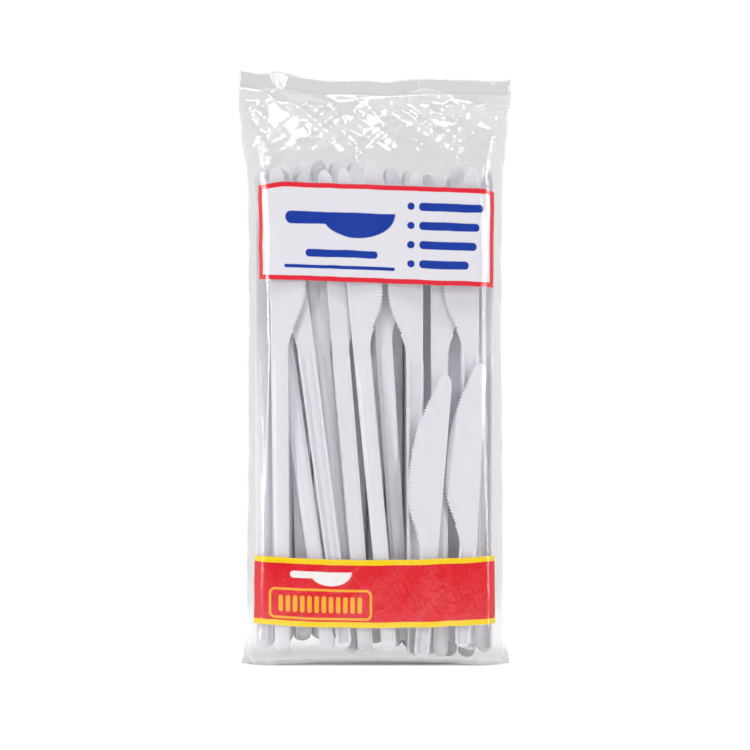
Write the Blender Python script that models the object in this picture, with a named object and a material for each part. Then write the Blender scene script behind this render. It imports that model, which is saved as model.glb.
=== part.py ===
"""A clear film bag of fifty white plastic table knives, standing upright on its base.

X runs across the pack, Y from front to back, Z up.  The origin is at the middle of the base.
"""
import itertools
import math

import bmesh
import bpy
import numpy as np
from mathutils import Matrix

MM = 0.001

# One knife.  In its own axes X is across it, towards the cutting edge, Y is through it, towards
# the hollow side of the handle, and Z is along it, from the end of the handle to the tip.
HANDLE_LENGTH = 104 * MM
SHORT_HANDLE_LENGTH = 35 * MM
BLADE_LENGTH = 63 * MM
BLADE_WIDTH = 12.6 * MM
PLATE = 1.0 * MM                # thickness of the blade and of the web of the handle
NECK_WIDTH = 5.9 * MM
END_WIDTH = 5.1 * MM
END_ROUND_STEPS = 5
FLANGE = 1.2 * MM               # how far the flanges stand out behind the web
FLANGE_WALL = 0.9 * MM
CROWN = 0.4 * MM                # how far the face of the handle bulges
CROWN_INSET = 1.5 * MM

# The cutting side of the blade, round the tip: (share of its length above the neck, share of its
# width from the spine).
CUTTING_SIDE = ((0.07, 0.54), (0.15, 0.72), (0.23, 0.89), (0.31, 0.98), (0.44, 1.00), (0.57, 0.96),
                (0.69, 0.86), (0.81, 0.69), (0.92, 0.47), (0.98, 0.31), (1.00, 0.18), (0.975, 0.04))
SPINE_SHARE = 0.93              # share of the blade's length at which the spine meets the tip

# The bag: a tube of film, round at its sides, with a flat base and a flat sealed lip.
FILM = 0.1 * MM
BAG_HEIGHT = 205 * MM
SEAL_BOTTOM = 199.5 * MM        # the two plies are one from here up
SIDE_COLUMNS = 5                # section points on each rounded corner
FLAT_COLUMNS = 6                # section points along each flat ply
# Heights with the half width and the half depth of the section there.
BAG_SECTIONS = ((0, 43.3, 11.2), (1.2, 44.2, 12.6), (4, 44.5, 13.0), (12, 44.4, 13.2), (40, 44.1, 13.2),
                (75, 43.7, 13.2), (110, 43.4, 13.2), (140, 43.6, 13.2), (160, 44.0, 12.9),
                (172, 44.4, 12.4), (177, 44.7, 11.2), (182, 45.2, 9.0), (188, 46.0, 5.8), (194, 46.8, 2.6),
                (198, 47.2, 0.8), (SEAL_BOTTOM / MM, 47.2, 0.3), (BAG_HEIGHT / MM, 47.2, 0.25))
BAG_CORNER = 9.5 * MM           # radius of the section's corners, where the bag is deep enough
CAVITY_TOP = 198 * MM
# The flattened corners of the bottom seam stand out at each side.
EAR_REACH = 46.8 * MM
EAR_HEIGHT = 13 * MM
VENT_RADIUS = 2.5 * MM
VENT_HEIGHT = 184 * MM
VENT_SIDE = 4 * MM              # its centre from the middle of the back

# How the knives lie.
GAP = 0.35 * MM                 # clearance left between neighbours
CELL_X = 0.25 * MM              # grid on which they are laid against each other
CELL_Z = 1.5 * MM
TILTS = tuple(0.5 * step for step in range(-5, 6))      # degrees, tip forwards or back
ROLLS = tuple(3.0 * step for step in range(-5, 6))      # degrees about the knife's own length

# The front knives, in the order in which they lie from the front face inwards:
# (foot from the middle, lean in degrees, handle end above the base, side of the edge, short).
FRONT_KNIVES = (
    (15.7, 4.6, 2.6, -1, True),
    (29.8, 3.2, 6.2, -1, True),
    (-31.9, -0.5, 4.6, 1, False),
    (13.6, 0.0, 3.0, -1, False),
    (32.9, 0.0, 4.8, -1, False),
    (5.5, -5.3, 5.0, 1, False),
    (-2.7, -4.8, 4.4, 1, False),
    (-9.4, -7.5, 6.2, -1, False),
    (-7.5, -5.7, 3.6, 1, False),
    (-15.3, -8.2, 5.6, 1, False),
    (10.4, -3.8, 8.0, 1, False),
    (22.6, -0.2, 2.8, 1, False),
    (27.2, 0.3, 7.0, -1, False),
    (-24.0, -1.5, 9.6, 1, False),
    (38.3, 0.0, 4.0, -1, False),
    (-38.3, 0.0, 6.0, 1, False),
)
# Behind them a block of nested rows stands against the back of the bag: (first column, number).
BLOCK_ROWS = ((1, 10), (0, 12), (0, 12))
BLOCK_LEFT = -38.8 * MM         # handle of the first column, if the last row had one there
BLOCK_PITCH = 6.35 * MM
BLOCK_BACK = 10.0 * MM          # middle of the blades of the last row
BLOCK_ROW_DEPTH = 3.1 * MM
BLOCK_ROW_SHIFT = 0.5 * MM      # each row stands this much to the right of the one behind it
BLOCK_ROLL = -12.5              # degrees
# The ends of the block's handles rise and fall in a slow wave.
BLOCK_HEIGHT = 4.8 * MM
WAVE_HEIGHT = 3.2 * MM
WAVE_PER_COLUMN = 0.4
WAVE_PER_ROW = 0.1


def clear_scene():
    for obj in list(bpy.data.objects):
        bpy.data.objects.remove(obj)


def material(name, colour, roughness, alpha=1.0):
    mat = bpy.data.materials.new(name)
    mat.use_nodes = True
    shader = mat.node_tree.nodes["Principled BSDF"]
    shader.inputs["Base Color"].default_value = (*colour, 1.0)
    shader.inputs["Roughness"].default_value = roughness
    shader.inputs["Metallic"].default_value = 0.0
    shader.inputs["Alpha"].default_value = alpha
    return mat


def handle_outline(length):
    """From the neck on the spine side, round the end, to the neck on the cutting side."""
    radius = END_WIDTH / 2
    points = [(-NECK_WIDTH / 2, length)]
    for step in range(END_ROUND_STEPS + 2):
        angle = math.pi + math.pi * step / (END_ROUND_STEPS + 1)
        points.append((radius * math.cos(angle), radius + radius * math.sin(angle)))
    points.append((NECK_WIDTH / 2, length))
    return points


def blade_outline(neck):
    """From the neck on the cutting side, over the tip, back to the neck on the spine side."""
    spine = -NECK_WIDTH / 2
    points = [(spine + width * BLADE_WIDTH, neck + height * BLADE_LENGTH)
              for height, width in CUTTING_SIDE]
    points.append((spine, neck + SPINE_SHARE * BLADE_LENGTH))
    return points


def knife_mesh(name, handle_length, finish):
    """A flat plate with a crowned face and two flanges behind the handle."""
    bm = bmesh.new()
    handle = [bm.verts.new((x, -PLATE / 2, z)) for x, z in handle_outline(handle_length)]
    blade = [bm.verts.new((x, -PLATE / 2, z)) for x, z in blade_outline(handle_length)]
    handle_face = bm.faces.new(handle)
    blade_face = bm.faces.new([handle[-1]] + blade + [handle[0]])
    plate = bmesh.ops.extrude_face_region(bm, geom=[handle_face, blade_face], use_keep_orig=True)
    raised = [item for item in plate["geom"] if isinstance(item, bmesh.types.BMVert)]
    bmesh.ops.translate(bm, verts=raised, vec=(0, PLATE, 0))
    bmesh.ops.recalc_face_normals(bm, faces=bm.faces)
    web = next(face for face in plate["geom"] if isinstance(face, bmesh.types.BMFace)
               and face.calc_center_median().z < handle_length)
    rim = bmesh.ops.inset_individual(bm, faces=[web], thickness=FLANGE_WALL)["faces"]
    flange = bmesh.ops.extrude_face_region(bm, geom=rim)
    bmesh.ops.delete(bm, geom=rim, context="FACES_ONLY")
    raised = [item for item in flange["geom"] if isinstance(item, bmesh.types.BMVert)]
    bmesh.ops.translate(bm, verts=raised, vec=(0, FLANGE, 0))
    bmesh.ops.inset_individual(bm, faces=[handle_face], thickness=CROWN_INSET, depth=CROWN)
    bmesh.ops.recalc_face_normals(bm, faces=bm.faces)
    mesh = bpy.data.meshes.new(name)
    bm.to_mesh(mesh)
    bm.free()
    mesh.materials.append(finish)
    return mesh


def knife_cloud(handle_length):
    """Points on both faces of a knife, row by row, close enough to lay it by."""
    heights, widths = zip(*CUTTING_SIDE[:-1])
    points = []
    for z in np.arange(0, handle_length + BLADE_LENGTH, CELL_Z * 0.8):
        share = (z - handle_length) / BLADE_LENGTH
        if share < 0:
            half = np.interp(z, (0, handle_length), (END_WIDTH / 2, NECK_WIDTH / 2))
            edges, faces = (-half, half), (-PLATE / 2 - CROWN, PLATE / 2 + FLANGE)
        else:
            width = BLADE_WIDTH * np.interp(share, (0,) + heights, (NECK_WIDTH / BLADE_WIDTH,) + widths)
            edges, faces = (-NECK_WIDTH / 2, width - NECK_WIDTH / 2), (-PLATE / 2, PLATE / 2)
        count = math.ceil((edges[1] - edges[0]) / (CELL_X * 0.8)) + 1
        points += [(x, y, z) for x in np.linspace(*edges, count) for y in faces]
    return np.array(points)


def knife_turn(lean, tilt, roll, edge_side):
    """The knife's turn from its own axes: the edge to the left means that it lies face down."""
    half_turn = 0 if edge_side > 0 else 180
    return (Matrix.Rotation(math.radians(lean), 3, "Y") @ Matrix.Rotation(math.radians(-tilt), 3, "X")
            @ Matrix.Rotation(math.radians(roll + half_turn), 3, "Z"))


def bag_size(z):
    """Half width and half depth of the bag at a height or an array of heights."""
    heights, widths, depths = (np.array(column) * MM for column in zip(*BAG_SECTIONS))
    return np.interp(z, heights, widths), np.interp(z, heights, depths)


def bag_half_depth(x, z, inset=0.0):
    """How far the film stands from the middle plane at a place across and up the bag."""
    half_width, half_depth = bag_size(z)
    radius = np.minimum(half_depth, BAG_CORNER)
    into_corner = np.maximum(np.abs(x) - (half_width - radius), 0)
    rise = np.sqrt(np.maximum((radius - inset) ** 2 - into_corner ** 2, 0))
    return half_depth - radius + rise


class Pile:
    """Knives laid one behind another: how deep the pile is at each place, seen from the front."""

    def __init__(self):
        self.x0 = -1.2 * EAR_REACH
        self.z0 = -4 * CELL_Z
        columns = round(-2 * self.x0 / CELL_X)
        rows = round((BAG_HEIGHT - self.z0) / CELL_Z)
        x = self.x0 + (np.arange(columns) + 0.5) * CELL_X
        z = self.z0 + (np.arange(rows) + 0.5) * CELL_Z
        across, up = np.meshgrid(x, z, indexing="ij")
        self.back = -bag_half_depth(across, up, FILM + GAP)
        self.front = self.spread(self.back)

    def spread(self, depth):
        """The depth at each cell, or at its deepest neighbour."""
        padded = np.pad(depth, 1, mode="edge")
        sides = [padded[i:i + depth.shape[0], j:j + depth.shape[1]] for i in range(3) for j in range(3)]
        return np.max(sides, axis=0)

    def cells(self, points):
        column = ((points[:, 0] - self.x0) / CELL_X).astype(int)
        row = ((points[:, 2] - self.z0) / CELL_Z).astype(int)
        return column, row

    def place(self, cloud, foot, lean, height, edge_side):
        """Lay a knife against the pile with the tilt and roll that bring it furthest forward."""
        end = np.array((foot + height * math.tan(math.radians(lean)), 0, height))
        tries = []
        for tilt, roll in itertools.product(TILTS, ROLLS):
            turn = knife_turn(lean, tilt, roll, edge_side)
            points = cloud @ np.array(turn).T + end
            depth = (self.front[self.cells(points)] - points[:, 1]).max() + GAP
            middle = depth + points[:, 1].mean()
            tries.append((round(middle / MM, 3), len(tries), depth, turn))
        _, _, depth, turn = min(tries)
        place = end + (0, depth, 0)
        points = cloud @ np.array(turn).T + place
        np.maximum.at(self.back, self.cells(points), points[:, 1])
        self.front = self.spread(self.back)
        return turn, place


def laid_knives():
    """Every knife of the pack: whether it is a short one, its turn and its place."""
    clouds = {short: knife_cloud(length) for short, length in (
        (False, HANDLE_LENGTH), (True, SHORT_HANDLE_LENGTH))}
    pile = Pile()
    for foot, lean, height, edge_side, short in FRONT_KNIVES:
        yield short, *pile.place(clouds[short], foot * MM, lean, height * MM, edge_side)
    turn = knife_turn(0, 0, BLOCK_ROLL, 1)
    for row, (first, count) in enumerate(BLOCK_ROWS):
        for column in range(first, first + count):
            foot = BLOCK_LEFT + column * BLOCK_PITCH + row * BLOCK_ROW_SHIFT
            wave = math.sin(WAVE_PER_COLUMN * column + WAVE_PER_ROW * row)
            height = BLOCK_HEIGHT + wave * WAVE_HEIGHT
            yield False, turn, (foot, BLOCK_BACK - row * BLOCK_ROW_DEPTH, height)


def bag_ring(bm, z, inset):
    """One section of the bag as a ring of vertices, from the left side over the front."""
    half_width, half_depth = bag_size(z)
    radius = min(half_depth, BAG_CORNER)
    flat = half_width - radius
    ear = half_width + (EAR_REACH - half_width) * max(0, 1 - z / EAR_HEIGHT) ** 1.5
    corner = [flat + radius * math.sin(math.radians(90 * step / SIDE_COLUMNS))
              for step in range(SIDE_COLUMNS)]
    inner = [flat * step / FLAT_COLUMNS for step in range(-FLAT_COLUMNS + 1, FLAT_COLUMNS)]
    across = [-x for x in reversed(corner)] + inner + corner
    front = [(x, -bag_half_depth(x, z, inset)) for x in across]
    back = [(x, -y) for x, y in reversed(front)]
    reach = max(ear, half_width) - inset
    outline = [(-reach, 0)] + front + [(reach, 0)] + back
    return [bm.verts.new((x, y, z)) for x, y in outline]


def join_rings(bm, rings):
    """A closed skin over the rings, returned as its faces."""
    skin = [bm.faces.new(rings[0]), bm.faces.new(rings[-1])]
    for lower, upper in zip(rings, rings[1:]):
        for index in range(len(lower)):
            skin.append(bm.faces.new((lower[index - 1], lower[index], upper[index], upper[index - 1])))
    return skin


def film_bag(finish):
    """The outer and the inner face of the film, with a small vent through the back ply."""
    bm = bmesh.new()
    heights = [height * MM for height, _, _ in BAG_SECTIONS]
    join_rings(bm, [bag_ring(bm, z, 0) for z in heights])
    cavity = [max(z, FILM) for z in heights if z <= CAVITY_TOP]
    inner_face = join_rings(bm, [bag_ring(bm, z, FILM) for z in cavity])
    bmesh.ops.recalc_face_normals(bm, faces=bm.faces)
    bmesh.ops.reverse_faces(bm, faces=inner_face)
    mesh = bpy.data.meshes.new("film_bag")
    bm.to_mesh(mesh)
    bm.free()
    mesh.materials.append(finish)
    return mesh


def cut_vent(bag):
    """A small round hole through the back ply, near the top."""
    bm = bmesh.new()
    half_depth = bag_half_depth(0, VENT_HEIGHT)
    turn = Matrix.Translation((VENT_SIDE, half_depth, VENT_HEIGHT)) @ Matrix.Rotation(math.pi / 2, 4, "X")
    bmesh.ops.create_cone(bm, cap_ends=True, segments=12, radius1=VENT_RADIUS, radius2=VENT_RADIUS,
                          depth=half_depth, matrix=turn)
    mesh = bpy.data.meshes.new("vent_cutter")
    bm.to_mesh(mesh)
    bm.free()
    cutter = bpy.data.objects.new("vent_cutter", mesh)
    cutter.hide_render = True
    cutter.display_type = "WIRE"
    bpy.context.scene.collection.objects.link(cutter)
    cut = bag.modifiers.new("vent", "BOOLEAN")
    cut.operation = "DIFFERENCE"
    cut.solver = "EXACT"
    cut.object = cutter


def add_object(name, mesh, placing=Matrix.Identity(4)):
    obj = bpy.data.objects.new(name, mesh)
    obj.matrix_world = placing
    bpy.context.scene.collection.objects.link(obj)
    return obj


def main():
    clear_scene()
    white = material("white_polystyrene", (0.83, 0.84, 0.87), 0.3)
    film = material("clear_film", (0.93, 0.93, 0.93), 0.12, alpha=0.25)
    meshes = {short: knife_mesh(name, length, white) for short, name, length in (
        (False, "knife", HANDLE_LENGTH), (True, "short_knife", SHORT_HANDLE_LENGTH))}
    for number, (short, turn, place) in enumerate(laid_knives(), start=1):
        name = f"short_knife_{number}" if short else f"knife_{number:02d}"
        add_object(name, meshes[short], Matrix.Translation(place) @ turn.to_4x4())
    cut_vent(add_object("film_bag", film_bag(film)))


main()
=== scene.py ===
"""A clear film bag of fifty white plastic table knives, as it looks standing on a pale studio floor.

X runs across the pack, Y from front to back, Z up, all in metres.  Shapes are worked in
millimetres where a name ends in no unit, and turned into metres where a mesh is made.
"""
import math

import bmesh
import bpy
import numpy as np
from mathutils import Matrix, Vector
from mathutils.bvhtree import BVHTree
from mathutils.geometry import delaunay_2d_cdt


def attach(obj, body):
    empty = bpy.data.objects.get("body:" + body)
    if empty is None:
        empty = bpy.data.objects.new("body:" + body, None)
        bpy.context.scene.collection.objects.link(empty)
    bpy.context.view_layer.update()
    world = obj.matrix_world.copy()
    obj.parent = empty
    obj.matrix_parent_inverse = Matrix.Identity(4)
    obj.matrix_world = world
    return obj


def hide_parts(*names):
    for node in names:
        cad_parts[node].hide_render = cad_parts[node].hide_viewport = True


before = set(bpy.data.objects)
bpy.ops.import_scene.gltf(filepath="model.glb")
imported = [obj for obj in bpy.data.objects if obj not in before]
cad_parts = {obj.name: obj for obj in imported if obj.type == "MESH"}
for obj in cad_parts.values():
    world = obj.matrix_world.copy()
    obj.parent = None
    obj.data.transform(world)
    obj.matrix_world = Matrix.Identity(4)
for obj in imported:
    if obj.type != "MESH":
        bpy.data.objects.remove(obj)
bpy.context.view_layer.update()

MM = 0.001

# One knife, in its own axes: X across it towards the cutting edge, Y through it towards the hollow
# side of the handle, Z along it from the end of the handle to the tip.  Millimetres.
HANDLE_LENGTH = 104
SHORT_HANDLE_LENGTH = 35
BLADE_LENGTH = 63
BLADE_WIDTH = 12.6
PLATE = 1.0
NECK_WIDTH = 5.9
END_WIDTH = 5.1
END_ROUND_STEPS = 5
FLANGE = 1.2
FLANGE_WALL = 0.9
CROWN = 0.4
CROWN_INSET = 1.5
CUTTING_SIDE = ((0.07, 0.54), (0.15, 0.72), (0.23, 0.89), (0.31, 0.98), (0.44, 1.00), (0.57, 0.96),
                (0.69, 0.86), (0.81, 0.69), (0.92, 0.47), (0.98, 0.31), (1.00, 0.18), (0.975, 0.04))
SPINE_SHARE = 0.93

TOOTH_PITCH = 1.2
TOOTH_DEPTH = 0.85
TOOTH_SHAPE = (0.0, 0.5, 1.0, 0.55)     # how far the edge stands out at four steps along a tooth
TEETH_FROM = 0.12               # shares of the blade's length between which it is toothed
TEETH_TO = 0.95
GROUND_WIDTH = 3.0              # the ground strip along the teeth
EDGE_SHARE = 0.35               # thickness left at the teeth, as a share of the plate

# The bag.  Heights with the half width and the half depth of the section there.
BAG_SECTIONS = ((0, 43.3, 11.2), (1.2, 44.2, 12.6), (4, 44.5, 13.0), (12, 44.4, 13.2), (40, 44.1, 13.2),
                (75, 43.7, 13.2), (110, 43.4, 13.2), (140, 43.6, 13.2), (160, 44.0, 12.9),
                (172, 44.4, 12.4), (177, 44.7, 11.2), (182, 45.2, 9.0), (188, 46.0, 5.8), (194, 46.8, 2.6),
                (198, 47.2, 0.8), (199.5, 47.2, 0.3), (205, 47.2, 0.25))
BAG_CORNER = 9.5
EAR_REACH = 46.8
EAR_HEIGHT = 13
BAG_HEIGHT = 205
SEAL_BOTTOM = 199.5
HALF_FLAT = 53.0                # half the width of the bag laid flat
PLY_COLUMNS = 180
PLY_GAP = 0.12


# ---------------------------------------------------------------------------------------------
# Materials
# ---------------------------------------------------------------------------------------------

class Value:
    """A socket that takes part in ordinary arithmetic and adds the Math nodes for it."""

    def __init__(self, finish, socket):
        self.finish = finish
        self.socket = socket

    def math(self, operation, *others):
        values = [self, *others]
        node = self.finish.node("ShaderNodeMath", {"operation": operation}, *values)
        return Value(self.finish, node.outputs[0])

    def __add__(self, other):
        return self.math("ADD", other)

    def __sub__(self, other):
        return self.math("SUBTRACT", other)

    def __rsub__(self, other):
        return self.finish.number("SUBTRACT", other, self)

    def __mul__(self, other):
        return self.math("MULTIPLY", other)

    def __truediv__(self, other):
        return self.math("DIVIDE", other)

    __radd__ = __add__
    __rmul__ = __mul__

    def __abs__(self):
        return self.math("ABSOLUTE")

    def least(self, other):
        return self.math("MINIMUM", other)

    def most(self, other):
        return self.math("MAXIMUM", other)

    def power(self, other):
        return self.math("POWER", other)

    def root(self):
        return self.math("SQRT")

    def rise(self, low, high):
        """0 below low, 1 above high, smooth between."""
        node = self.finish.node("ShaderNodeMapRange", {"interpolation_type": "SMOOTHSTEP"},
                                self, low, high, 0.0, 1.0)
        return Value(self.finish, node.outputs[0])


class Finish:
    """A material under construction."""

    def __init__(self, name):
        self.material = bpy.data.materials.new(name)
        self.material.use_nodes = True
        self.tree = self.material.node_tree
        self.tree.nodes.clear()

    def node(self, kind, settings=None, *values, **named):
        """A node of that type: its settings first, then its sockets in order or by name."""
        node = self.tree.nodes.new(kind)
        for key, setting in (settings or {}).items():
            setattr(node, key, setting)
        sockets = list(zip(node.inputs, values))
        sockets += [(node.inputs[name.replace("_", " ")], value) for name, value in named.items()]
        for socket, value in sockets:
            if isinstance(value, Value):
                self.tree.links.new(value.socket, socket)
            elif value is not None:
                socket.default_value = value
        return node

    def number(self, operation, *values):
        return Value(self, self.node("ShaderNodeMath", {"operation": operation}, *values).outputs[0])

    def out(self, node, name=0):
        return Value(self, node.outputs[name])

    def mix(self, share, below, above):
        """A colour between two, by a share from 0 to 1."""
        node = self.node("ShaderNodeMix", {"data_type": "RGBA"})
        for index, value in ((0, share), (6, below), (7, above)):
            if isinstance(value, Value):
                self.tree.links.new(value.socket, node.inputs[index])
            else:
                node.inputs[index].default_value = value if index == 0 else (*value, 1.0)
        return Value(self, node.outputs[2])

    def noise(self, place, scale, detail=2.0, roughness=0.5):
        node = self.node("ShaderNodeTexNoise", None, Vector=place, Scale=scale, Detail=detail,
                         Roughness=roughness)
        return self.out(node)

    def stretched(self, place, scales):
        node = self.node("ShaderNodeVectorMath", {"operation": "MULTIPLY"}, place, scales)
        return self.out(node)

    def bump(self, height, strength, distance):
        node = self.node("ShaderNodeBump", None, Strength=strength, Distance=distance, Height=height)
        return self.out(node)

    def finished(self, surface):
        output = self.node("ShaderNodeOutputMaterial")
        self.tree.links.new(surface.socket, output.inputs["Surface"])
        return self.material


def polystyrene_finish():
    """Glossy white polystyrene with faint flow marks and rubbed, slightly duller patches."""
    finish = Finish("white_polystyrene")
    place = finish.out(finish.node("ShaderNodeTexCoord"), "Object")
    clouds = finish.noise(place, 90.0, 3.0)
    flow = finish.noise(finish.stretched(place, (900.0, 900.0, 60.0)), 1.0, 3.0, 0.6)
    grain = finish.noise(place, 2600.0, 2.0)
    colour = finish.mix(clouds, KNIFE_SHADE, KNIFE_WHITE)
    roughness = 0.2 + 0.12 * clouds + 0.06 * grain
    normal = finish.bump(flow + 0.5 * grain, 0.25, 0.00004)
    shader = finish.node("ShaderNodeBsdfPrincipled", None, Base_Color=colour, Roughness=roughness,
                         IOR=1.55, Normal=normal)
    return finish.finished(finish.out(shader))


# The ink, in millimetres across and up the front of the flat film.
PANEL_TILT = -0.035             # the white panel sinks a little to the right
RED = (0.56, 0.001, 0.010)
BORDER_RED = (0.60, 0.015, 0.03)
YELLOW = (0.72, 0.50, 0.0)
ORANGE = (0.72, 0.32, 0.008)
BLUE = (0.002, 0.03, 0.27)
PANEL_WHITE = (0.60, 0.59, 0.63)
KNIFE_WHITE = (0.84, 0.845, 0.885)
KNIFE_SHADE = (0.80, 0.81, 0.865)
FILM_CLEAR = (0.885, 0.878, 0.878)
FILM_SHINE = 0.06              # reflected straight on, by both faces of the film together


class Ink:
    """Masks of printed shapes at a place on the film; each is 1 on the shape and 0 off it."""

    def __init__(self, across, up, blur=0.12):
        self.across, self.up, self.blur = across, up, blur

    def inside(self, distance):
        return 1 - distance.rise(-self.blur, self.blur)

    def box_distance(self, left, right, low, high, corner):
        x = abs(self.across - (left + right) / 2) - ((right - left) / 2 - corner)
        z = abs(self.up - (low + high) / 2) - ((high - low) / 2 - corner)
        outside_x, outside_z = x.most(0.0), z.most(0.0)
        outside = (outside_x * outside_x + outside_z * outside_z).root()
        return outside + x.most(z).least(0.0) - corner

    def box(self, left, right, low, high, corner=0.05):
        return self.inside(self.box_distance(left, right, low, high, corner))

    def frame(self, left, right, low, high, corner, width):
        return self.inside(abs(self.box_distance(left, right, low, high, corner)) - width / 2)

    def knife(self, left, right, low, high):
        """A plain table knife lying with its tip to the right and its edge down."""
        length, height = right - left, high - low
        handle = self.box(left, left + 0.56 * length, high - 0.5 * height, high, 0.24 * height)
        middle, reach = left + 0.66 * length, 0.34 * length
        x = (self.across - middle) / reach
        z = (self.up - (high - 0.02 * height)) / height
        belly = ((x * x + z * z).root() - 1) * (height / 2)
        blade = self.inside(belly.most(self.up - high))
        return handle.most(blade)


def film_finish():
    """Clear film, milky where it is crumpled, greyer at its foot partly as painted shade, with opaque ink on its
    front.
    """
    finish = Finish("clear_film")
    place = finish.out(finish.node("ShaderNodeAttribute", {"attribute_name": "film_place"}), "Vector")
    parts = finish.node("ShaderNodeSeparateXYZ", None, place)
    across, up, front = (finish.out(parts, index) for index in range(3))

    wobble = finish.noise(finish.stretched(place, (0.11, 0.11, 0.0)), 1.0, 1.0) - 0.5
    droop = (1.5 * (-1 * across).rise(31.0, 41.0) + 1.1 * across.rise(38.0, 42.5)) * up.rise(128.0, 168.0)
    panel = Ink(across + 0.7 * wobble, up - PANEL_TILT * across + 0.5 * wobble + droop)
    field = panel.box(-40.8, 41.8, 131.6, 165.4)
    border = field * (1 - panel.box(-39.1, 40.1, 133.3, 163.7))
    marks = panel.knife(-31.0, 7.0, 147.0, 155.5).most(panel.box(-24.0, 1.0, 140.0, 142.6, 1.2))
    marks = marks.most(panel.box(-31.3, 6.9, 136.0, 137.2, 0.5))
    for row, right in enumerate((37.5, 36.1, 35.1, 32.3)):
        middle = 158.4 - 6.6 * row
        marks = marks.most(panel.box(15.2, right, middle - 1.4, middle + 1.4, 1.3))
        marks = marks.most(panel.box(11.1, 13.6, middle - 1.25, middle + 1.25, 1.2))

    bow = across * across * 0.0009
    band = Ink(across, up - bow + 0.5 * wobble)
    stripe = band.box(-42.0, 41.5, 13.0, 36.4)
    red_part = band.box(-43.0, 43.0, 14.9, 34.5)
    strokes = band.knife(-29.0, -8.0, 27.3, 32.0)
    yellow_marks = band.frame(-35.8, -1.4, 15.9, 25.7, 1.8, 0.8)
    for number in range(12):
        left = -32.9 + 2.45 * number
        yellow_marks = yellow_marks.most(band.box(left, left + 1.5, 17.9, 23.6, 0.7))

    ink = field.most(stripe) * front
    colour = finish.mix(border, PANEL_WHITE, BORDER_RED)
    colour = finish.mix(marks, colour, BLUE)
    colour = finish.mix(stripe, colour, YELLOW)
    colour = finish.mix(stripe * red_part, colour, RED)
    colour = finish.mix(stripe * strokes, colour, (0.68, 0.66, 0.66))
    colour = finish.mix(stripe * yellow_marks, colour, ORANGE)
    clouds = finish.noise(finish.stretched(place, (0.08, 0.02, 3.0)), 1.0, 3.0)
    colour = finish.mix(0.03 * clouds, colour, (0.66, 0.62, 0.63))

    wrinkles = finish.noise(finish.stretched(place, (0.9, 0.35, 7.0)), 1.0, 4.0, 0.65)
    normal = finish.bump(wrinkles, 0.35, 0.00025)
    roughness = 0.05 + 0.08 * clouds
    clear = finish.out(finish.node("ShaderNodeBsdfTransparent", None, (*FILM_CLEAR, 1.0)))
    haze = finish.out(finish.node("ShaderNodeBsdfDiffuse", None, (0.55, 0.54, 0.54, 1.0), Normal=normal))
    seal = up.rise(SEAL_BOTTOM - 0.3, SEAL_BOTTOM) * (1 - up.rise(SEAL_BOTTOM + 0.8, SEAL_BOTTOM + 1.1))
    # Extra grey haze where the film is crumpled at the head, along the seal and at the foot. At the foot it is
    # partly folded film layers and partly painted shade, standing in for the pack's shadow seen through the film.
    crumple_and_foot_shade = up.rise(176.0, 190.0) + 1 - up.rise(2.0, 11.0)
    milk_and_foot_shade = 0.03 + 0.05 * crumple_and_foot_shade + 0.10 * seal + 0.16 * (1 - up.rise(1.0, 6.0))
    body = finish.out(finish.node("ShaderNodeMixShader", None, milk_and_foot_shade, clear, haze))
    printed = finish.out(finish.node("ShaderNodeBsdfPrincipled", None, Base_Color=colour, Roughness=0.6,
                                     Specular_IOR_Level=0.0, Normal=normal))
    body = finish.out(finish.node("ShaderNodeMixShader", None, ink, body, printed))
    gloss = finish.out(finish.node("ShaderNodeBsdfGlossy", {"distribution": "GGX"},
                                   (1.0, 1.0, 1.0, 1.0), Roughness=roughness, Normal=normal))
    facing = finish.out(finish.node("ShaderNodeLayerWeight", None, 0.5, normal), "Facing")
    mirror = FILM_SHINE + (1 - FILM_SHINE) * facing.power(5.0)
    surface = finish.node("ShaderNodeMixShader", None, mirror, body, gloss)
    return finish.finished(finish.out(surface))


def floor_finish():
    """White paper that turns into a lit backdrop away from the pack."""
    finish = Finish("pale_floor")
    place = finish.out(finish.node("ShaderNodeTexCoord"), "Object")
    distance = finish.out(finish.node("ShaderNodeVectorMath", {"operation": "LENGTH"}, place), "Value")
    paper = finish.out(finish.node("ShaderNodeBsdfDiffuse", None, (0.86, 0.86, 0.86, 1.0)))
    glow = finish.out(finish.node("ShaderNodeEmission", None, (1.0, 1.0, 1.0, 1.0), 1.0))
    lit = distance.rise(FLOOR_NEAR, FLOOR_FAR)
    return finish.finished(finish.out(finish.node("ShaderNodeMixShader", None, lit, paper, glow)))


# ---------------------------------------------------------------------------------------------
# Knives
# ---------------------------------------------------------------------------------------------

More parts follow.
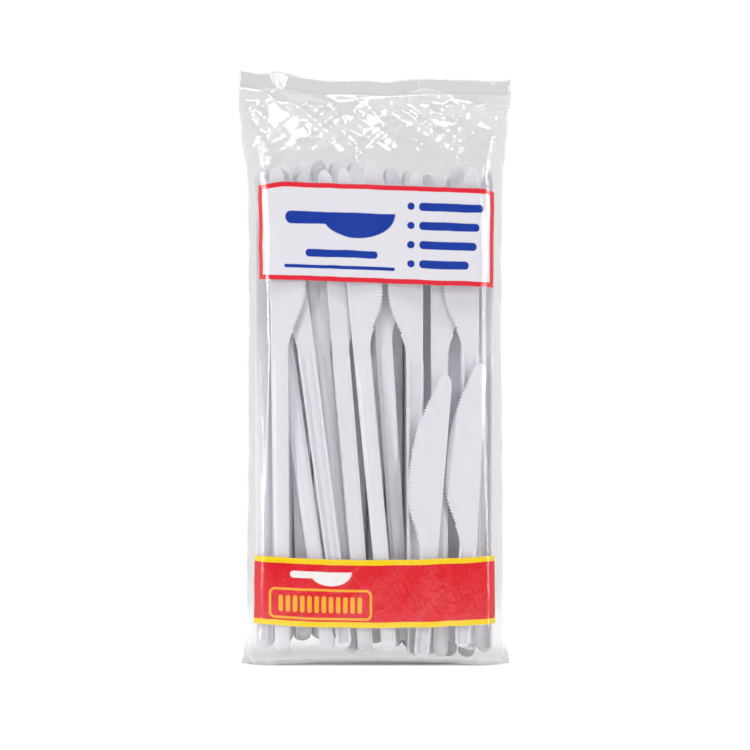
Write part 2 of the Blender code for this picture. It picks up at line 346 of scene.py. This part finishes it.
def coarse_knife(handle_length):
    """The triangles of the frame's plain knife in its own axes, in metres."""
    radius, half = END_WIDTH / 2, NECK_WIDTH / 2
    handle = [(-half, handle_length)]
    for step in range(END_ROUND_STEPS + 2):
        angle = math.pi + math.pi * step / (END_ROUND_STEPS + 1)
        handle.append((radius * math.cos(angle), radius + radius * math.sin(angle)))
    handle.append((half, handle_length))
    blade = [(half, handle_length)]
    blade += [(width * BLADE_WIDTH - half, handle_length + height * BLADE_LENGTH)
              for height, width in CUTTING_SIDE]
    blade += [(-half, handle_length + SPINE_SHARE * BLADE_LENGTH), (-half, handle_length)]
    bm = bmesh.new()
    corners = [bm.verts.new((x * MM, -PLATE / 2 * MM, z * MM)) for x, z in handle]
    handle_face = bm.faces.new(corners)
    tip = [bm.verts.new((x * MM, -PLATE / 2 * MM, z * MM)) for x, z in blade[1:-1]]
    blade_face = bm.faces.new([corners[-1]] + tip + [corners[0]])
    plate = bmesh.ops.extrude_face_region(bm, geom=[handle_face, blade_face], use_keep_orig=True)
    raised = [item for item in plate["geom"] if isinstance(item, bmesh.types.BMVert)]
    bmesh.ops.translate(bm, verts=raised, vec=(0, PLATE * MM, 0))
    bmesh.ops.recalc_face_normals(bm, faces=bm.faces)
    web = next(face for face in plate["geom"] if isinstance(face, bmesh.types.BMFace)
               and face.calc_center_median().z < handle_length * MM)
    rim = bmesh.ops.inset_individual(bm, faces=[web], thickness=FLANGE_WALL * MM)["faces"]
    flange = bmesh.ops.extrude_face_region(bm, geom=rim)
    bmesh.ops.delete(bm, geom=rim, context="FACES_ONLY")
    raised = [item for item in flange["geom"] if isinstance(item, bmesh.types.BMVert)]
    bmesh.ops.translate(bm, verts=raised, vec=(0, FLANGE * MM, 0))
    bmesh.ops.inset_individual(bm, faces=[handle_face], thickness=CROWN_INSET * MM, depth=CROWN * MM)
    bmesh.ops.recalc_face_normals(bm, faces=bm.faces)
    bmesh.ops.triangulate(bm, faces=bm.faces)
    triangles = np.array([[tuple(vert.co) for vert in face.verts] for face in bm.faces])
    bm.free()
    return triangles


def mesh_triangles(mesh):
    mesh.calc_loop_triangles()
    places = np.array([tuple(vert.co) for vert in mesh.vertices])
    return places[np.array([tuple(triangle.vertices) for triangle in mesh.loop_triangles])]


def own_axes(triangles):
    """Centre and principal axes of a closed solid, each axis pointing to its longer tail."""
    def volumes(corners):
        return np.einsum("ni,ni->n", corners[:, 0], np.cross(corners[:, 1], corners[:, 2])) / 6

    weight = volumes(triangles)
    centre = (weight[:, None] * triangles.sum(axis=1)).sum(axis=0) / (4 * weight.sum())
    local = triangles - centre
    weight = volumes(local)
    total = local.sum(axis=1)
    spread = np.einsum("n,nki,nkj->ij", weight, local, local) + np.einsum("n,ni,nj->ij", weight, total, total)
    axes = np.linalg.eigh(spread)[1]
    along = local @ axes
    sums = [(along ** power).sum(axis=1) for power in (1, 2, 3)]
    tails = weight @ (sums[0] ** 3 + 3 * sums[0] * sums[1] + 2 * sums[2])
    return centre, axes * np.sign(tails)


def lie_of(mesh, plain):
    """The placing that takes the plain knife onto a knife of the frame."""
    centre, axes = own_axes(mesh_triangles(mesh))
    plain_centre, plain_axes = own_axes(plain)
    turn = axes @ plain_axes.T
    return Matrix.Translation(centre - turn @ plain_centre) @ Matrix(turn.tolist()).to_4x4()


def smooth_outline(points, steps=12):
    """A Catmull-Rom curve through the points."""
    path = np.array([points[0], *points, points[-1]], float)
    share = np.linspace(0, 1, steps, endpoint=False)[:, None]
    pieces = []
    for a, b, c, d in zip(path, path[1:], path[2:], path[3:]):
        pieces.append(0.5 * (2 * b + (c - a) * share + (2 * a - 5 * b + 4 * c - d) * share ** 2
                             + (3 * b - a - 3 * c + d) * share ** 3))
    return np.concatenate(pieces + [path[-1:]])


def eased(value, low, high):
    share = np.clip((value - low) / (high - low), 0, 1)
    return share * share * (3 - 2 * share)


def blade_sides(handle_length, z):
    """Left and right side of the blade at heights above the neck."""
    half = NECK_WIDTH / 2
    points = [(half, handle_length - 8), (half, handle_length)]
    points += [(width * BLADE_WIDTH - half, handle_length + height * BLADE_LENGTH)
               for height, width in CUTTING_SIDE]
    points += [(-half, handle_length + share * BLADE_LENGTH) for share in (SPINE_SHARE, 0.88, 0.8, 0.0)]
    outline = smooth_outline(points)
    top = outline[:, 1].argmax()
    right = np.interp(z, np.maximum.accumulate(outline[1:top + 1, 1]), outline[1:top + 1, 0])
    left = np.interp(z, np.maximum.accumulate(outline[top:, 1][::-1]), outline[top:, 0][::-1])
    return np.maximum(left, -half), right


def tooth_heights(handle_length):
    """Four heights for each tooth, evenly spaced along the curved edge."""
    z = handle_length + np.linspace(TEETH_FROM, TEETH_TO, 900) * BLADE_LENGTH
    along = np.append(0, np.cumsum(np.hypot(np.diff(z), np.diff(blade_sides(handle_length, z)[1]))))
    return np.interp(np.arange(0, along[-1], TOOTH_PITCH / 4), along, z)


def knife_heights(handle_length):
    """Where the knife's sections are cut: close at its end, its neck, its teeth and its tip."""
    radius = END_WIDTH / 2
    end = radius * (1 - np.cos(np.radians(np.arange(9, 91, 9))))
    hollow = np.array((3.2, 4.0))
    handle = np.linspace(6, handle_length - 8, max(4, handle_length // 12))
    neck = handle_length + np.arange(-6.5, TEETH_FROM * BLADE_LENGTH - 0.3, 0.9)
    teeth = tooth_heights(handle_length)
    last = (1 - TEETH_TO) * BLADE_LENGTH
    tip = handle_length + BLADE_LENGTH - last * np.cos(np.radians(np.arange(9, 91, 9)))
    heights = np.concatenate((end, hollow, handle, neck, teeth, np.minimum(tip, tip[-1] - 0.02)))
    first = len(heights) - len(tip) - len(teeth)
    out = np.ones(len(heights))
    out[first:first + len(teeth)] = np.resize(TOOTH_SHAPE, len(teeth))
    return heights, out


def knife_mesh(name, handle_length, finish):
    """The moulded knife: crowned handle face, hollow back, ground and toothed edge."""
    z, tooth = knife_heights(handle_length)
    radius, half = END_WIDTH / 2, NECK_WIDTH / 2
    rounding = np.sqrt(np.clip(radius ** 2 - np.clip(radius - z, 0, None) ** 2, 0.05, None)) / radius
    handle_half = np.interp(z, (0, handle_length), (END_WIDTH / 2, half)) * rounding
    left, right = blade_sides(handle_length, z)
    on_blade = z > handle_length
    left = np.where(on_blade, left, -handle_half)
    right = np.where(on_blade, right, handle_half)

    share = (z - handle_length) / BLADE_LENGTH
    slope = np.abs(np.gradient(right, z))
    notch = TOOTH_DEPTH * (1 - tooth) * np.minimum(np.hypot(1, slope), 1.5)

    hollow = eased(z, 0.9, 1.7) * (z < handle_length)
    flange = FLANGE * (1 - eased(z, handle_length - 5.0, handle_length - 0.3))
    crown = CROWN * eased(z, 0.3, 1.9) * (1 - eased(z, handle_length - 7.0, handle_length - 1.0))
    ground = eased(share, 0.02, TEETH_FROM) * (1 - EDGE_SHARE)
    width = right - left

    def thickness(place):
        """Half the plate's thickness there, thinned towards the teeth."""
        into = np.clip(1 - (1 - place) * width / GROUND_WIDTH, 0, 1)
        return PLATE / 2 * (1 - ground * into)

    def front(place, dome):
        return -thickness(place) - crown * dome

    def back(place, wall):
        return thickness(place) + flange * (1 - hollow * (1 - wall))

    def lip(place):
        """A little off the corners where a face meets the side."""
        return np.minimum(0.16, 0.3 * thickness(place))

    face = ((0.035, 0.0), (0.08, 0.0), (0.14, 0.22), (0.20, 0.62), (0.26, 0.92), (0.32, 1.0), (0.5, 1.0),
            (0.68, 1.0), (0.74, 0.92), (0.80, 0.62), (0.86, 0.22), (0.92, 0.0), (0.965, 0.0))
    rear = ((0.965, 1.0), (0.90, 1.0), (0.855, 0.96), (0.83, 0.5), (0.80, 0.05), (0.70, 0.0), (0.5, 0.0),
            (0.30, 0.0), (0.20, 0.05), (0.17, 0.5), (0.145, 0.96), (0.10, 1.0), (0.035, 1.0))
    ring = [(place, front(place, dome)) for place, dome in face]
    ring += [(1.0, front(1.0, 0) + lip(1.0)), (1.0, back(1.0, 1) - lip(1.0))]
    ring += [(place, back(place, wall)) for place, wall in rear]
    ring += [(0.0, back(0.0, 1) - lip(0.0)), (0.0, front(0.0, 0) + lip(0.0))]
    points = np.array([[left + place * width - notch * eased(place, 0.9, 1.0), depth, z]
                       for place, depth in ring]) * MM
    count, rows = len(ring), len(z)
    places = points.transpose(2, 0, 1).reshape(-1, 3)
    faces = [list(range(count)), list(range((rows - 1) * count, rows * count))]
    for row in range(rows - 1):
        for index in range(count):
            after = (index + 1) % count
            faces.append([row * count + index, row * count + after,
                          (row + 1) * count + after, (row + 1) * count + index])
    mesh = bpy.data.meshes.new(name)
    mesh.from_pydata(places.tolist(), [], faces)
    bm = bmesh.new()
    bm.from_mesh(mesh)
    bmesh.ops.recalc_face_normals(bm, faces=bm.faces)
    for part in bm.faces:
        part.smooth = True
    for edge in bm.edges:
        edge.smooth = edge.calc_face_angle(0) < math.radians(38)
    bm.to_mesh(mesh)
    bm.free()
    mesh.materials.append(finish)
    return mesh


def lay_knives(finish):
    """A fine knife in the place of each plain one of the frame."""
    shapes = {}
    for short, length, name in ((False, HANDLE_LENGTH, "table_knife"),
                                (True, SHORT_HANDLE_LENGTH, "short_table_knife")):
        shapes[short] = coarse_knife(length), knife_mesh(name, length, finish)
    knives = []
    for node in sorted(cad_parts):
        if "knife" not in node:
            continue
        plain, mesh = shapes["short" in node]
        knife = bpy.data.objects.new("moulded_" + node, mesh)
        bpy.context.scene.collection.objects.link(knife)
        knife.matrix_world = lie_of(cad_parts[node].data, plain)
        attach(knife, "root")
        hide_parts(node)
        knives.append(knife)
    return knives


# ---------------------------------------------------------------------------------------------
# Film
# ---------------------------------------------------------------------------------------------

def film_rows():
    """Heights up the film: below 0 they run under the base to its seam."""
    under = np.linspace(-11, 0, 9, endpoint=False)
    foot = np.arange(0, 18, 0.6)
    body = np.arange(18, 158, 1.6)
    head = np.arange(158, BAG_HEIGHT + 0.01, 0.46)
    return np.concatenate((under, foot, body, head))


def film_ply(across, up):
    """Front ply before it is crumpled: place across, depth, and the way it faces."""
    z = np.clip(up, 0, None)
    heights, widths, depths = (np.array(column, float) for column in zip(*BAG_SECTIONS))
    half_width, half_depth = np.interp(z, heights, widths), np.interp(z, heights, depths)
    corner = np.minimum(half_depth, BAG_CORNER)
    reach = np.maximum(half_width, half_width + (EAR_REACH - half_width) * np.clip(1 - z / EAR_HEIGHT, 0, 1) ** 1.5)
    flat = half_width - corner
    arc = corner * math.pi / 2
    side = np.hypot(reach - half_width, half_depth - corner)
    way = np.abs(across) / HALF_FLAT * (flat + arc + side)
    angle = np.clip((way - flat) / corner, 0, math.pi / 2)
    past = np.clip((way - flat - arc) / np.maximum(side, 1e-6), 0, 1)
    x = np.minimum(way, flat) + corner * np.sin(angle) + past * (reach - half_width)
    depth = (half_depth - corner + corner * np.cos(angle)) - past * (half_depth - corner)
    depth = depth * np.clip(1 + up / 11, 0, 1)
    return np.sign(across) * x, depth, np.sign(across) * np.sin(angle), np.cos(angle)


def facets(around, up, cell, shear, stretch, seed):
    """Heights from -1 to 1 that fall in flat triangles, the same again after one turn round the bag."""
    chance = np.random.default_rng(seed)
    columns = max(4, round(4 * HALF_FLAT / cell))
    pitch = 4 * HALF_FLAT / columns
    low, high = up.min() / stretch - 2 * cell, up.max() / stretch + 2 * cell
    rows = math.ceil((high - low) / cell) + 1
    shift = chance.uniform(-0.42, 0.42, (columns, rows, 2))
    level = chance.uniform(-1, 1, (columns, rows))
    overhang = math.ceil(abs(shear) * (high - low) * stretch / pitch) + 3
    places, levels = [], []
    for column in range(-overhang, columns + overhang):
        for row in range(rows):
            dx, dz = shift[column % columns, row]
            places.append(Vector(((column + 0.5 * (row % 2) + dx) * pitch, low + (row + dz) * cell)))
            levels.append(level[column % columns, row])
    found = delaunay_2d_cdt(places, [], [], 0, 1e-7)
    corners = [(point.x, point.y, levels[source[0]]) for point, source in zip(found[0], found[3])]
    surface = BVHTree.FromPolygons(corners, found[2])
    down = Vector((0, 0, -1))
    heights = np.zeros(around.size)
    for index, (a, z) in enumerate(zip((around + shear * up).ravel(), (up / stretch).ravel())):
        hit = surface.ray_cast(Vector((a, z, 5)), down)[0]
        heights[index] = hit.z if hit else 0
    return heights.reshape(around.shape)


def softened(grid, rounds=1):
    """Each point moved towards the mean of its neighbours; the grid closes on itself sideways."""
    for _ in range(rounds):
        sideways = (np.roll(grid, 1, axis=1) + np.roll(grid, -1, axis=1)) / 2
        padded = np.pad(grid, ((1, 1), (0, 0)), mode="edge")
        updown = (padded[:-2] + padded[2:]) / 2
        grid = 0.5 * grid + 0.25 * sideways + 0.25 * updown
    return grid


def creases(heights, width):
    """Thin ridges along the lines where the heights pass through zero."""
    return np.clip(1 - np.abs(heights) / width, 0, 1)


LIP_EDGE = ((-47, 206.0), (-43, 205.4), (-39, 204.8), (-34, 205.4), (-30, 204.6), (-25, 203.2), (-20, 202.3),
            (-12, 202.2), (-4, 202.5), (4, 201.9), (12, 202.7), (20, 203.0), (30, 202.5), (39, 202.0),
            (44, 202.0), (47, 202.7))


def film_grid(knife_tree):
    """Every point of the film, in millimetres, with its place on the flat film."""
    up = film_rows()
    ply = (np.arange(PLY_COLUMNS) + 0.5) / PLY_COLUMNS * 2 * HALF_FLAT - HALF_FLAT
    across = np.concatenate((ply, ply[::-1]))
    around = np.concatenate((ply + HALF_FLAT, ply + 3 * HALF_FLAT))
    is_front = np.concatenate((np.ones(PLY_COLUMNS), np.zeros(PLY_COLUMNS)))
    grid_up, grid_across = np.meshgrid(up, across, indexing="ij")
    grid_around = np.broadcast_to(around, grid_up.shape)
    front = np.broadcast_to(is_front, grid_up.shape)
    x, depth, facing_x, facing_y = film_ply(grid_across, grid_up)

    broad = facets(grid_around, grid_up, 15.0, 0.35, 1.0, 11)
    sliver = facets(grid_around, grid_up, 5.5, 1.2, 2.4, 12)
    splinter = facets(grid_around, grid_up, 4.6, -0.8, 2.0, 13)
    fine = facets(grid_around, grid_up, 3.2, 0.3, 1.0, 14)
    long = facets(grid_around, grid_up, 6.0, 0.03, 7.0, 15)
    sealed = facets(x + HALF_FLAT, grid_up, 9.0, 0.5, 1.0, 16)
    folds = creases(broad + 0.5 * sliver, 0.06) + creases(splinter + 0.4 * broad, 0.1)
    corner = eased(np.abs(grid_across), 31, 38)
    sides = eased(np.abs(grid_across), 36, 47)
    head = eased(grid_up, 163, 186)
    foot = 1 - eased(grid_up, 3, 15)
    lip = eased(grid_up, SEAL_BOTTOM - 5, SEAL_BOTTOM)
    push = head * (2.4 * broad + 0.75 * sliver + 0.6 * splinter + 0.22 * fine + 0.3 * folds)
    push += foot * (0.3 * sliver + 0.25 * fine + sides * (0.6 * fine + 0.7 * sliver + 0.2 * folds))
    push += (1 - head) * (0.22 * long + corner * 0.25 * long + sides * (0.35 * sliver + 0.2 * fine)
                          + 0.05 * splinter)
    push = 0.6 * push + 0.4 * softened(push)

    wave = lip * (1.5 * np.sin(x * 0.11 + 0.6) + 1.1 * sealed)
    forward = np.where(front > 0.5, -1.0, 1.0)
    y = forward * (depth + push * facing_y * (1 - lip)) + wave
    x = x + push * facing_x * (1 - lip) * 0.6

    lip_x, lip_z = zip(*LIP_EDGE)
    crest = np.interp(x, lip_x, lip_z) - BAG_HEIGHT
    z = np.clip(grid_up, 0, None) + crest * eased(grid_up, 186, BAG_HEIGHT)
    arch = 1.3 * np.clip(1 - (x / 36) ** 2, 0, 1) * (1 - eased(grid_up, 0, 8)) * eased(grid_up, -11, 0)
    z = z + arch + 0.5 * (1 - eased(grid_up, 0, 3)) * eased(grid_up, -9, -1) * np.abs(fine) * (1 - sides)

    y = clear_of_knives(x, y, z, front, knife_tree)
    count = PLY_COLUMNS
    front_y, back_y = y[:, :count], y[:, count:][:, ::-1]
    middle_y, half_gap = (front_y + back_y) / 2, np.maximum((back_y - front_y) / 2, PLY_GAP / 2)
    y[:, :count] = middle_y - half_gap
    y[:, count:] = (middle_y + half_gap)[:, ::-1]
    places = np.stack((grid_across, grid_up, front), axis=-1)
    return np.stack((x, y, np.maximum(z, 0.02)), axis=-1), places


def clear_of_knives(x, y, z, front, knife_tree):
    """The film's depth, moved off any knife that it would cut."""
    start, clearance = 60.0, 0.16
    y = y.copy()
    for row, column in zip(*np.nonzero((z > 0.5) & (z < 184))):
        toward = 1.0 if front[row, column] > 0.5 else -1.0
        origin = Vector((x[row, column], -toward * start, z[row, column])) * MM
        hit = knife_tree.ray_cast(origin, Vector((0, toward, 0)))[0]
        if hit:
            limit = hit.y / MM - toward * clearance
            y[row, column] = min(y[row, column], limit) if toward > 0 else max(y[row, column], limit)
    return y


def film_bag(finish, knives):
    knife_tree = tree_of(knives)
    points, places = film_grid(knife_tree)
    rows, columns = points.shape[:2]
    faces = []
    for row in range(rows - 1):
        for column in range(columns):
            after = (column + 1) % columns
            faces.append((row * columns + column, row * columns + after,
                          (row + 1) * columns + after, (row + 1) * columns + column))
    for row in (0, rows - 1):
        for column in range(PLY_COLUMNS - 1):
            opposite = columns - 1 - column
            faces.append((row * columns + column, row * columns + column + 1,
                          row * columns + opposite - 1, row * columns + opposite))
    mesh = bpy.data.meshes.new("printed_film_bag")
    mesh.from_pydata((points.reshape(-1, 3) * MM).tolist(), [], faces)
    mesh.attributes.new("film_place", "FLOAT_VECTOR", "POINT").data.foreach_set("vector", places.ravel())
    bm = bmesh.new()
    bm.from_mesh(mesh)
    bmesh.ops.recalc_face_normals(bm, faces=bm.faces)
    for part in bm.faces:
        part.smooth = True
    bm.to_mesh(mesh)
    bm.free()
    mesh.materials.append(finish)
    bag = bpy.data.objects.new("printed_film_bag", mesh)
    bpy.context.scene.collection.objects.link(bag)
    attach(bag, "root")
    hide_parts("film_bag")
    return bag


def tree_of(objects):
    """All of the objects' faces as one tree, in metres."""
    places, faces = [], []
    for obj in objects:
        start = len(places)
        places += [obj.matrix_world @ vert.co for vert in obj.data.vertices]
        faces += [[start + index for index in face.vertices] for face in obj.data.polygons]
    return BVHTree.FromPolygons(places, faces)


# ---------------------------------------------------------------------------------------------
# Studio
# ---------------------------------------------------------------------------------------------

def floor():
    bm = bmesh.new()
    corners = ((-FLOOR_SIZE, -FLOOR_FRONT), (FLOOR_SIZE, -FLOOR_FRONT),
               (FLOOR_SIZE, FLOOR_SIZE), (-FLOOR_SIZE, FLOOR_SIZE))
    bm.faces.new([bm.verts.new((x, y, 0)) for x, y in corners])
    mesh = bpy.data.meshes.new("studio_floor")
    bm.to_mesh(mesh)
    bm.free()
    mesh.materials.append(floor_finish())
    ground = bpy.data.objects.new("studio_floor", mesh)
    bpy.context.scene.collection.objects.link(ground)


def lamp(name, place, aim, width, height, power):
    light = bpy.data.lights.new(name, "AREA")
    light.shape = "RECTANGLE"
    light.size, light.size_y = width, height
    light.energy = power
    obj = bpy.data.objects.new(name, light)
    obj.location = place
    obj.rotation_euler = (Vector(aim) - Vector(place)).to_track_quat("-Z", "Y").to_euler()
    bpy.context.scene.collection.objects.link(obj)


ROOM_FRONT = 0.04               # light of the room behind the camera, beside the backdrop's 1
FLOOR_NEAR = 0.25               # the floor round the pack, and where it has become lit backdrop
FLOOR_FAR = 0.45
FLOOR_FRONT = 0.42              # the paper ends here, towards the dark front of the room
FLOOR_SIZE = 30.0


def studio():
    world = bpy.data.worlds.new("white_room")
    world.use_nodes = True
    nodes, links = world.node_tree.nodes, world.node_tree.links
    direction = nodes.new("ShaderNodeSeparateXYZ")
    links.new(nodes.new("ShaderNodeTexCoord").outputs["Generated"], direction.inputs["Vector"])
    depth = nodes.new("ShaderNodeMapRange")
    depth.interpolation_type = "SMOOTHSTEP"
    for name, value in (("From Min", -0.85), ("From Max", -0.15), ("To Min", ROOM_FRONT), ("To Max", 1.0)):
        depth.inputs[name].default_value = value
    links.new(direction.outputs["Y"], depth.inputs["Value"])
    strength = nodes.new("ShaderNodeMapRange")
    links.new(nodes.new("ShaderNodeLightPath").outputs["Is Camera Ray"], strength.inputs["Value"])
    links.new(depth.outputs["Result"], strength.inputs["To Min"])
    nodes["Background"].inputs["Color"].default_value = (1, 1, 1, 1)
    links.new(strength.outputs["Result"], nodes["Background"].inputs["Strength"])
    bpy.context.scene.world = world
    bpy.context.scene.view_settings.view_transform = "Standard"
    floor()
    middle = (0, 0, 0.1)
    lamp("left_strip", (-0.95, -0.75, 0.35), middle, 0.14, 0.7, 7.5)
    lamp("right_strip", (0.95, -0.85, 0.30), middle, 0.10, 0.7, 5.0)
    lamp("top_box", (0.1, -0.45, 1.15), middle, 0.4, 0.2, 6.0)
    lamp("upper_left", (-0.55, -1.1, 0.75), middle, 0.09, 0.16, 1.6)
    lamp("lower_right", (0.6, -1.2, -0.15), middle, 0.09, 0.16, 1.2)
    lamp("back_box", (0.0, 0.9, 0.9), middle, 1.0, 0.5, 3)

    camera = bpy.data.cameras.new("camera")
    camera.sensor_width = 36
    distance, span = 1.3, 0.2604
    camera.lens = 36 * distance / span
    eye = bpy.data.objects.new("camera", camera)
    eye.location = (0, -distance, 0.1)
    eye.rotation_euler = (math.pi / 2, 0, 0)
    bpy.context.scene.collection.objects.link(eye)
    bpy.context.scene.camera = eye


knives = lay_knives(polystyrene_finish())
film_bag(film_finish(), knives)
studio()
